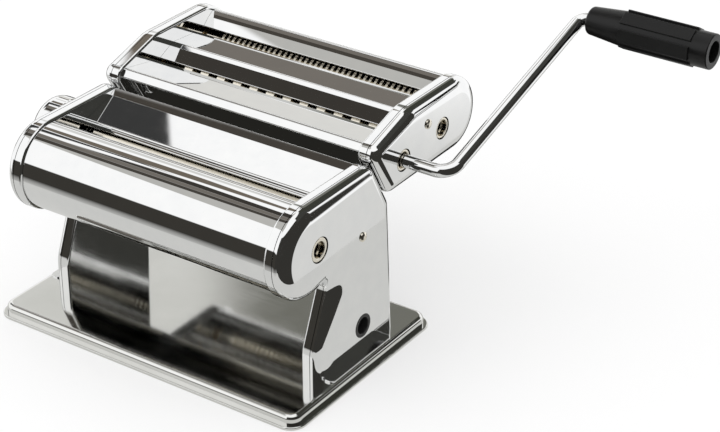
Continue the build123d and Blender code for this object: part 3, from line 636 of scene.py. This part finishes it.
piece("gap_knob", bm, mirror_chrome, "regulator_knob")
bm = bmesh.new()
cap = [(cap_floor, 0), (cap_floor, cap_radius), (knob_outer, cap_radius), (knob_outer, 0)]
turned(bm, cap, rear_y, roller_z, [0.2, 1.0])
piece("gap_knob_cap", bm, mirror_chrome, "knob_cap")
copied(machined_steel, "regulator_cam", "spring_washer", "index_pin")
copied(bronze, "regulator_bush")
(spring,) = copied(machined_steel, "regulator_spring")
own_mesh(spring)

# Side boxes of the cutter, drawn and chromed like those of the roller unit. Slots in the inner
# trays take the rails of the ledge, so that the cutter lifts off.
ribbon = Vector((53.5, 115.5))
cutter_tilt = radians(5)
pair_way = Vector((cos(cutter_tilt), sin(cutter_tilt)))
pair_distance, mate_distance = 41.4, 18.6
spaghetti = ribbon + pair_way * pair_distance
cutter_corners = [on_ledge(7.5, 1.4), (62, 143.6), (134, 143.6), (134, 97.6), on_ledge(-31.0, 1.4)]
cutter_bends = [7.0, 30.0, 22.8, 22.8, 8.0]
cutter_rims = [6.2, 8.0, 9.0, 9.0, 6.8]
cutter_panel = rounded(cutter_corners, cutter_bends, rims=cutter_rims)
drives = [ribbon, spaghetti]
mates = [drive + pair_way * mate_distance for drive in drives]
small_bush, large_bush, drive_window = 6.08, 8.48, 7.0
rail_slot = (2.2, 3.5, 40.0)
for name, side in (("right", 1), ("left", -1)):
    drive_bush = large_bush if side == 1 else small_bush
    tray_holes = [(*p, drive_bush) for p in drives] + [(*p, small_bush) for p in mates]
    shell_holes = [(*p, drive_window) for p in drives] if side == 1 else []
    slot_place = (side * (inner_face + box_sheet + tray_open) / 2, *on_ledge(-25.8, 1.45))
    bm = cut(tray(cutter_panel, tray_holes, side), (slot_place, rail_slot, pi / 2 - ledge_slope))
    piece(f"cutter_{name}_inner", bm, mirror_chrome, f"cutter_{name}_tray")
    bm = shell(cutter_panel, shell_holes, side)
    piece(f"cutter_{name}_outer", bm, mirror_chrome, f"cutter_{name}_shell")

# Guards and plates of the cutter, bent from the same sheet. The front plate and the ridge with its
# flat top lead the dough to the ribbon rollers, and the ridge and the rear plate, which rises in
# small steps and rolls down the back, lead it to the spaghetti rollers.
front_corners = [on_ledge(-27.0, 5.2), on_ledge(1.7, 5.2), (31.8, 132.2), (59.5, 127.2)]
piece("cutter_front_plate", bent(front_corners, [1.5, 2.0]), sheet_chrome, "cutter_front_guard")
ridge_corners = [(65.0, 127.0), (74.6, 131.42), (78.3, 132.65), (101.0, 131.08)]
piece("cutter_ridge_plate", bent(ridge_corners, [2.0, 3.0]), sheet_chrome, "cutter_centre_ridge")
round_centre, round_radius, round_start = Vector((111.2, 120.6)), 21.3, 55.0
bows = 3
bow = (round_start + 90) / bows
bow_angles = [radians(round_start - bow * (step + 0.5)) for step in range(bows)]
bow_reach = round_radius / cos(radians(bow / 2))
bow_corners = [round_centre + Vector((cos(a), sin(a))) * bow_reach for a in bow_angles]
rear_rise = [(109.0, 132.4), (113.9, 136.82), (116.09, 138.22), (120.02, 140.42)]
rear_corners = [*rear_rise, *bow_corners, (108.0, 99.3)]
rear_sheet = bent(rear_corners, [1.5, 1.5, 3.6] + [round_radius] * bows)
piece("cutter_rear_plate", rear_sheet, sheet_chrome, "cutter_rear_guard")
copied(bronze, "cutter_bushes")
copied(machined_steel, "cutter_spacers", "cutter_tie_rods", "cutter_tie_nuts")

# Cutting rollers. Steel bars turned into square rings; the rings of one run in the grooves of its
# mate, broad ones for ribbons and fine ones for spaghetti.
ring_radius = 10.6
groove_depth = 3.2
ring_play = 0.06
ring_root = 0.6
ring_edge = 0.12
ring_sides = 56
cutting_width = 150.0
core_radius = ring_radius - groove_depth
spindle_radius, spindle_edge = 4.0, 0.4
mate_end = 90.9
cutter_sleeve = 6.4


def sized_tree(name, inputs):
    """A new tree with named inputs, with the identifiers of its sockets and what they give."""
    tree = bpy.data.node_groups.new(name, "GeometryNodeTree")
    sockets = {
        label: tree.interface.new_socket(label, in_out="INPUT", socket_type="NodeSocket" + kind).identifier
        for label, kind in inputs.items()
    }
    tree.interface.new_socket("Geometry", in_out="OUTPUT", socket_type="NodeSocketGeometry")
    return tree, sockets, add(tree, "NodeGroupInput").outputs


def ended(tree, shape, coat):
    """Ends a tree: real meshes in place of instances, in the material that is given."""
    whole = add(tree, "GeometryNodeRealizeInstances", {"Geometry": shape.outputs[0]})
    dressed = add(tree, "GeometryNodeSetMaterial", {"Geometry": whole.outputs[0], "Material": coat})
    add(tree, "NodeGroupOutput", {0: dressed.outputs[0]})


ring_inputs = {
    "Rings": "Int",
    "Pitch": "Float",
    "Ring width": "Float",
    "Ring radius": "Float",
    "Ring height": "Float",
    "Edge": "Float",
    "First ring": "Vector",
    "Finish": "Material",
}
rings, ring_sockets, given = sized_tree("cutting_rings", ring_inputs)
terms = {0: given["Ring height"], 1: -0.5, 2: given["Ring radius"]}
middle = add(rings, "ShaderNodeMath", terms, operation="MULTIPLY_ADD")
loop = add(
    rings,
    "GeometryNodeCurvePrimitiveCircle",
    {"Resolution": ring_sides, "Radius": middle.outputs[0]},
)
section = add(
    rings,
    "GeometryNodeCurvePrimitiveQuadrilateral",
    {"Width": given["Ring height"], "Height": given["Ring width"]},
)
eased = add(
    rings,
    "GeometryNodeFilletCurve",
    {"Curve": section.outputs[0], "Count": 1, "Radius": given["Edge"]},
    mode="POLY",
)
hoop = add(rings, "GeometryNodeCurveToMesh", {"Curve": loop.outputs[0], "Profile Curve": eased.outputs[0]})
stood = add(rings, "GeometryNodeTransform", {"Geometry": hoop.outputs[0], "Rotation": (0, pi / 2, 0)})
step = add(rings, "ShaderNodeCombineXYZ", {"X": given["Pitch"]})
row = add(
    rings,
    "GeometryNodeMeshLine",
    {"Count": given["Rings"], "Start Location": given["First ring"], "Offset": step.outputs[0]},
)
spread = add(rings, "GeometryNodeInstanceOnPoints", {"Points": row.outputs[0], "Instance": stood.outputs[0]})
ended(rings, spread, given["Finish"])


def grown(group, sockets, sizes, seed=None):
    """The plain mesh that a node tree makes from its named sizes, on a mesh if one is given."""
    stock = bpy.data.objects.new("stock", seed or bpy.data.meshes.new("stock"))
    bpy.context.scene.collection.objects.link(stock)
    step = stock.modifiers.new("grow", "NODES")
    step.node_group = group
    for name, value in sizes.items():
        step[sockets[name]] = value
    view = bpy.context.evaluated_depsgraph_get()
    mesh = bpy.data.meshes.new_from_object(stock.evaluated_get(view))
    stock.modifiers.remove(step)
    bpy.data.objects.remove(stock)
    return mesh


for kind, pitch, drive, mate, left_end in (
    ("ribbon", 12.5, drives[0], mates[0], -94.5),
    ("spaghetti", 4.0, drives[1], mates[1], -99.1),
):
    for half, axis in enumerate((drive, mate)):
        count = int(cutting_width // pitch)
        width = pitch / 2 - 2 * ring_play
        first = -count * pitch / 2 + half * pitch / 2 + ring_play + width / 2
        sizes = {
            "Rings": count,
            "Pitch": pitch,
            "Ring width": width,
            "Ring radius": ring_radius,
            "Ring height": groove_depth + ring_root,
            "Edge": ring_edge,
            "First ring": (first, axis.x, axis.y),
            "Finish": satin_nickel,
        }
        bm = bmesh.new()
        bm.from_mesh(grown(rings, ring_sockets, sizes))
        core = [
            (-roller_shoulder, 0),
            (-roller_shoulder, core_radius),
            (roller_shoulder, core_radius),
            (roller_shoulder, 0),
        ]
        turned(bm, core, *axis, [0.3, 0.3], count=ring_sides)
        journal(bm, left_end, spindle_radius, *axis, spindle_edge, 40)
        if half:
            journal(bm, mate_end, spindle_radius, *axis, spindle_edge, 40)
        else:
            joined(bm, sleeve(*axis, cutter_sleeve))
        node = f"{kind}_{'mate' if half else 'drive'}_roller"
        piece(node + "_bar", bm, satin_nickel, node)
copied(machined_steel, "ribbon_drive_gear", "ribbon_mate_gear", "spaghetti_drive_gear", "spaghetti_mate_gear")

# Screws. Small cross-head screws of steel, nickel plated, that hold the shells; their domed heads
# stand on the plate.
screw_head, head_rim = 3.0, 0.7
screw_dome, dome_flat = 1.4, 1.6
shank_length, shank_radius = 5.0, 1.2
cross_place, cross_height = (1.85, 0, 0), 2.3
cross_length, cross_width = 3.6, 0.8
bm = bmesh.new()
screw = [
    (-shank_length, 0),
    (-shank_length, shank_radius),
    (0, shank_radius),
    (0, screw_head),
    (head_rim, screw_head),
    (screw_dome, dome_flat),
    (screw_dome, 0),
]
turned(bm, screw, 0, 0, [0.2, 0.05, 0.05, 0.6, 1.5], count=40)
head = cut(
    bm,
    (cross_place, (cross_height, cross_length, cross_width), 0.0),
    (cross_place, (cross_height, cross_width, cross_length), 0.0),
)
head_mesh = bpy.data.meshes.new("screw_head")
head.to_mesh(head_mesh)
head.free()
head_object = bpy.data.objects.new("screw_head", head_mesh)
bpy.context.scene.collection.objects.link(head_object)

screw_inputs = {"Geometry": "Geometry", "Screw": "Object", "Slot turn": "Float", "Finish": "Material"}
screws, screw_sockets, given = sized_tree("cross_head_screws", screw_inputs)
shape = add(screws, "GeometryNodeObjectInfo", {"Object": given["Screw"]})
spot = add(screws, "GeometryNodeInputPosition")
apart = add(screws, "ShaderNodeSeparateXYZ", {0: spot.outputs[0]})
left = add(screws, "ShaderNodeMath", {0: apart.outputs["X"], 1: 0.0}, operation="LESS_THAN")
about = add(screws, "ShaderNodeMath", {0: left.outputs[0], 1: pi}, operation="MULTIPLY")
turn = add(screws, "ShaderNodeCombineXYZ", {"X": given["Slot turn"], "Z": about.outputs[0]})
spread = add(
    screws,
    "GeometryNodeInstanceOnPoints",
    {"Points": given["Geometry"], "Instance": shape.outputs["Geometry"], "Rotation": turn.outputs[0]},
)
ended(screws, spread, given["Finish"])
for name, node, spots, turn in (
    ("shell_screw", "panel_screw", [(outer_face, 12.0, 84.2)], 0.5),
    ("cutter_shell_screws", "cutter_screws", [(outer_face * s, 79.0, 128.3) for s in (1, -1)], 0.2),
):
    dots = bpy.data.meshes.new(name)
    dots.from_pydata(spots, [], [])
    sizes = {"Screw": head_object, "Slot turn": turn, "Finish": satin_nickel}
    piece(name, grown(screws, screw_sockets, sizes, dots), satin_nickel, node)
bpy.data.objects.remove(head_object)

# Crank. A round steel rod, bent twice and chrome plated. A cross pin near its end locks in the
# socket of a roller.
rod_radius = 4.0
crank_reach = 132.0
crank_arm = 155.0
crank_rise = radians(16.2)
crank_bends = [0.0, 10.0, 6.0, 0.0]
end_play = 0.3
rod_start = socket_mouth - socket_depth + end_play
rod_end = 206.9
handle = ribbon + Vector((cos(crank_rise), sin(crank_rise))) * crank_arm

crank_inputs = {"Geometry": "Geometry", "Rod radius": "Float", "Finish": "Material"}
crank_tree, crank_sockets, given = sized_tree("bent_rod", crank_inputs)
way = add(crank_tree, "GeometryNodeMeshToCurve", {"Mesh": given["Geometry"]})
bend = add(crank_tree, "GeometryNodeInputNamedAttribute", {"Name": "bend"}, data_type="FLOAT")
eased = add(
    crank_tree,
    "GeometryNodeFilletCurve",
    {"Curve": way.outputs[0], "Count": 20, "Radius": bend.outputs[0]},
    mode="POLY",
)
circle = add(
    crank_tree,
    "GeometryNodeCurvePrimitiveCircle",
    {"Resolution": 48, "Radius": given["Rod radius"]},
)
tube = add(
    crank_tree,
    "GeometryNodeCurveToMesh",
    {"Curve": eased.outputs[0], "Profile Curve": circle.outputs[0], "Fill Caps": True},
)
ended(crank_tree, tube, given["Finish"])
route = bpy.data.meshes.new("crank_route")
route.from_pydata(
    [
        (rod_start, *ribbon),
        (crank_reach, *ribbon),
        (crank_reach, *handle),
        (rod_end, *handle),
    ],
    [(0, 1), (1, 2), (2, 3)],
    [],
)
route.attributes.new("bend", "FLOAT", "POINT").data.foreach_set("value", crank_bends)
rod = grown(crank_tree, crank_sockets, {"Rod radius": rod_radius, "Finish": mirror_chrome}, route)
piece("crank_bar", rod, mirror_chrome, "crank_rod")
copied(machined_steel, "crank_cross_pin", "grip_retainer")

# Grip. Black plastic moulded in one piece: a cone towards the crank, six flat lands with channels
# between them, and a bored end over the rod's retainer.
grip_inner, grip_outer = 138.4, 220.9
grip_bore, cone_radius = 4.06, 8.6
end_bore, end_floor = 6.6, 202.9
land_start, land_end = 162.4, 209.4
land_radius, shoulder = 12.3, 11.0
land_root, land_edge, land_corner = 0.5, 0.5, 0.08
lands = 6
channel = 3.6

# Moulded plastic, satin: dark charcoal, with a faint sheen on the raised lands. Its grain is drawn
# 0.8 mm wide, and the real grain is finer.
grip_plastic, tree, shader, place = finish("satin_moulded_plastic", metallic=0.0)
shader.inputs["Specular IOR Level"].default_value = 0.3
grain = add(tree, "ShaderNodeTexNoise", {"Vector": place, "Scale": 1000 / 0.8, "Detail": 3.0})
cloud = add(tree, "ShaderNodeTexNoise", {"Vector": place, "Scale": 1000 / 14, "Detail": 2.0})
shades = {0: cloud.outputs[0], 6: linear("#0e0e0e"), 7: linear("#171717")}
tint = add(tree, "ShaderNodeMix", shades, data_type="RGBA")
gloss = add(tree, "ShaderNodeMapRange", {0: cloud.outputs[0], 1: 0.3, 2: 0.7, 3: 0.28, 4: 0.40})
bump = add(tree, "ShaderNodeBump", {"Strength": 0.2, "Distance": 0.00003, "Height": grain.outputs[0]})
tree.links.new(tint.outputs[2], shader.inputs["Base Color"])
tree.links.new(gloss.outputs[0], shader.inputs["Roughness"])
tree.links.new(bump.outputs[0], shader.inputs["Normal"])

bm = bmesh.new()
grip = [
    (grip_inner, grip_bore),
    (grip_inner, cone_radius),
    (land_start, shoulder),
    (grip_outer, shoulder),
    (grip_outer, end_bore),
    (end_floor, end_bore),
    (end_floor, grip_bore),
]
profile = [tuple(step[0]) for step in rounded(grip, [2.0, 6.0, 0.7, 0.5, 0.3], closed=False)]
rows = [ring(bm, x, *handle, radius) for x, radius in profile]
skinned(bm, rows + rows[:1])
land = bmesh.new()
half_arc = (2 * pi / lands - channel / land_radius) / 2
land_corners = [
    (land_start, -half_arc),
    (land_end, -half_arc),
    (land_end, half_arc),
    (land_start, half_arc),
]
land_path = rounded(land_corners, [land_corner] * 4)
rows = []
for radius, depth in [(shoulder - land_root, 0)] + quarter(land_radius - land_edge, 0, land_edge, 4):
    loop = []
    for point, normal, rim in land_path:
        x, turn = point.x - normal.x * depth, point.y - normal.y * depth / land_radius
        loop.append(land.verts.new((x, radius * cos(turn), radius * sin(turn))))
    rows.append(loop)
skinned(land, rows)
land.faces.new(rows[0])
land.faces.new(rows[-1])
bmesh.ops.recalc_face_normals(land, faces=land.faces)
land_mesh = bpy.data.meshes.new("land")
land.to_mesh(land_mesh)
land.free()

rib_inputs = {"Geometry": "Geometry", "Lands": "Int", "Axis": "Vector", "Finish": "Material"}
ribs, rib_sockets, given = sized_tree("grip_lands", rib_inputs)
same = add(
    ribs,
    "GeometryNodeMeshLine",
    {"Count": given["Lands"], "Start Location": given["Axis"], "Offset": (0, 0, 0)},
)
number = add(ribs, "GeometryNodeInputIndex")
share = add(ribs, "ShaderNodeMath", {0: number.outputs[0], 1: given["Lands"]}, operation="DIVIDE")
about = add(ribs, "ShaderNodeMath", {0: share.outputs[0], 1: 2 * pi}, operation="MULTIPLY")
turn = add(ribs, "ShaderNodeCombineXYZ", {"X": about.outputs[0]})
spread = add(
    ribs,
    "GeometryNodeInstanceOnPoints",
    {"Points": same.outputs[0], "Instance": given["Geometry"], "Rotation": turn.outputs[0]},
)
ended(ribs, spread, given["Finish"])
sizes = {"Lands": lands, "Axis": (0, *handle), "Finish": grip_plastic}
bm.from_mesh(grown(ribs, rib_sockets, sizes, land_mesh))
piece("crank_grip", bm, grip_plastic, "grip")

# Studio, in metres. A white sweep that the camera sees, the pale table that the chrome mirrors,
# white light all round, and the dark and brown parts of the room. The camera stands where the
# photograph's did.
sweep_reach = 3
table_left, table_right = -0.5, 0.187
table_front, table_back = -0.32, 0.6
# Where the painted shade falls off towards the table's front edge, and where the painted shadow strip behind
# the machine starts and ends.
front_dark, front_pale = -0.31, -0.18
strip_pale, strip_dark = 0.10, 0.12
strip_end, strip_fade = 0.105, 0.115

# White laminate: the camera sees it white with a soft shadow. The chrome sees it pale, with painted shade:
# it falls off into the dark towards the table's front edge, and a painted shadow darkens a strip
# behind the machine. Half of what it gives is its own glow: white to the camera, and to the chrome a painted
# glow in these tones.
laminate = bpy.data.materials.new("white_laminate_with_painted_shade")
laminate.use_nodes = True
tree = laminate.node_tree
tree.nodes.clear()
path = add(tree, "ShaderNodeLightPath")
place = add(tree, "ShaderNodeSeparateXYZ", {0: add(tree, "ShaderNodeTexCoord").outputs["Object"]})
# Painted shade: the table darkens towards its front edge.
near = add(tree, "ShaderNodeMapRange", {0: place.outputs["Y"], 1: front_dark, 2: front_pale})
shades = {0: near.outputs[0], 6: linear("#4a4844"), 7: linear("#e2e2e0")}
pale = add(tree, "ShaderNodeMix", shades, data_type="RGBA")
# Painted shade: a dark strip on the table behind the machine, standing in for its shadow and the dark
# reflection of its back.
behind = add(tree, "ShaderNodeMapRange", {0: place.outputs["Y"], 1: strip_pale, 2: strip_dark})
beside = add(tree, "ShaderNodeMapRange", {0: place.outputs["X"], 1: strip_fade, 2: strip_end})
back = add(tree, "ShaderNodeMath", {0: behind.outputs[0], 1: beside.outputs[0]}, operation="MULTIPLY")
shades = {0: back.outputs[0], 6: pale.outputs[2], 7: linear("#3a3935")}
painted_shade_tone = add(tree, "ShaderNodeMix", shades, data_type="RGBA")
shades = {0: path.outputs["Is Camera Ray"], 6: painted_shade_tone.outputs[2], 7: linear("#fdfdfd")}
tone = add(tree, "ShaderNodeMix", shades, data_type="RGBA")
glow = add(tree, "ShaderNodeEmission", {"Color": tone.outputs[2], "Strength": 1.0})
shaded = add(tree, "ShaderNodeBsdfDiffuse", {"Color": tone.outputs[2]})
both = add(tree, "ShaderNodeMixShader", {0: 0.5, 1: glow.outputs[0], 2: shaded.outputs[0]})
add(tree, "ShaderNodeOutputMaterial", {0: both.outputs[0]})
for name, left, right, front, rear, seen in (
    ("sweep", -sweep_reach, sweep_reach, -sweep_reach, sweep_reach, True),
    ("table", table_left, table_right, table_front, table_back, False),
):
    flat = bpy.data.meshes.new(name)
    corners = [(left, front, 0), (right, front, 0), (right, rear, 0), (left, rear, 0)]
    flat.from_pydata(corners, [], [range(4)])
    flat.materials.append(laminate)
    floor = bpy.data.objects.new(name, flat)
    bpy.context.scene.collection.objects.link(floor)
    floor.visible_camera = floor.visible_diffuse = floor.visible_shadow = seen
    floor.visible_glossy = not seen

world = bpy.data.worlds.new("studio")
bpy.context.scene.world = world
world.use_nodes = True
tree = world.node_tree
tree.nodes.clear()
way = add(tree, "ShaderNodeTexCoord").outputs["Generated"]
parts = add(tree, "ShaderNodeSeparateXYZ", {0: way})
height = add(tree, "ShaderNodeMath", {0: parts.outputs["Z"]}, operation="ARCSINE")
bearing = add(tree, "ShaderNodeMath", {0: parts.outputs["X"], 1: parts.outputs["Y"]}, operation="ARCTAN2")
slant = add(tree, "ShaderNodeMath", {0: bearing.outputs[0], 1: height.outputs[0]}, operation="ADD")
across = add(tree, "ShaderNodeMath", {0: height.outputs[0], 1: bearing.outputs[0]}, operation="SUBTRACT")
upright, on_corner = (bearing, height), (slant, across)
room = linear("#ffffff")
# Each card: bearing from and to, height from and to (degrees, bearing 0 at the back and -90 left),
# softness of its edge, colour, and how it hangs. The one that shows in the feed plate hangs on its
# corner, and is measured by the sum and the difference of height and bearing.
for card in (
    ((43, 182), (-95, 46), 2.0, "#33322f", upright),
    ((16, 72), (25, 64), 2.0, "#3c3c39", upright),
    ((-20, 36), (34, 65), 3.0, "#3b3c36", upright),
    ((10, 43), (-60, -26), 4.0, "#d6d6d4", upright),
    ((-47, -36), (28.6, 34), 2.0, "#d4d4d1", upright),
    ((-38.6, -10), (28.6, 48), 2.5, "#74746e", upright),
    ((-75, -38), (-34, -3), 3.0, "#4a4843", upright),
    ((-46, -24), (4, 16.2), 2.0, "#dad9d5", upright),
    ((-42, -26), (16.2, 21.4), 1.0, "#75706a", upright),
    ((-61, -46.5), (39.5, 48.4), 1.0, "#6f675d", upright),
    ((-85, -64.4), (25, 48.9), 1.0, "#3a3a3a", upright),
    ((-64, -46), (54.5, 64), 1.5, "#a09c94", upright),
    ((-79, -64.5), (51.5, 64), 1.0, "#3a3733", upright),
    ((-92, -79), (44, 64), 2.0, "#726d67", upright),
    ((-103, -92), (44, 64), 2.0, "#45413c", upright),
    ((-140, -103), (49.3, 66), 0.6, "#b9b8b4", upright),
    ((-20, -12.87), (108.9, 113.4), 0.3, "#3a3a3a", on_corner),
    ((-182, -137), (-95, 10), 2.0, "#383632", upright),
):
    (start, end), (low, high), soft, code, (along, over) = card
    inside = 1.0
    for angle, edge, sign in ((along, start, 1), (along, end, -1), (over, low, 1), (over, high, -1)):
        ramp = add(
            tree,
            "ShaderNodeMapRange",
            {0: angle.outputs[0], 1: radians(edge - sign * soft / 2), 2: radians(edge + sign * soft / 2)},
            interpolation_type="SMOOTHSTEP",
        )
        share = add(tree, "ShaderNodeMath", {0: inside, 1: ramp.outputs[0]}, operation="MULTIPLY")
        inside = share.outputs[0]
    mixed = add(tree, "ShaderNodeMix", {0: inside, 6: room, 7: linear(code)}, data_type="RGBA")
    room = mixed.outputs[2]
path = add(tree, "ShaderNodeLightPath")
mirrored = add(tree, "ShaderNodeBackground", {"Color": room, "Strength": 1.12})
plain = add(tree, "ShaderNodeBackground", {"Color": (1, 1, 1, 1), "Strength": 1.0})
both = add(
    tree,
    "ShaderNodeMixShader",
    {0: path.outputs["Is Glossy Ray"], 1: plain.outputs[0], 2: mirrored.outputs[0]},
)
add(tree, "ShaderNodeOutputWorld", {0: both.outputs[0]})

lamp = bpy.data.lights.new("softbox", "AREA")
lamp.energy = 3.0
lamp.size = 0.9
softbox = bpy.data.objects.new("softbox", lamp)
softbox.location = (-0.5, -0.5, 1.2)
lamp_aim = Vector((0.0, 0.0, 0.05))
softbox.rotation_euler = (lamp_aim - softbox.location).to_track_quat("-Z", "Y").to_euler()
softbox.visible_glossy = False
bpy.context.scene.collection.objects.link(softbox)

camera_dip, camera_turn = 29.08, 34.49
lens = bpy.data.cameras.new("camera")
lens.lens = 104.815
lens.sensor_width = 36.0
camera = bpy.data.objects.new("camera", lens)
camera.location = (0.68629, -0.84297, 0.67404)
camera.rotation_euler = (radians(90 - camera_dip), 0, radians(camera_turn))
bpy.context.scene.collection.objects.link(camera)
bpy.context.scene.camera = camera
bpy.context.scene.view_settings.view_transform = "Standard"
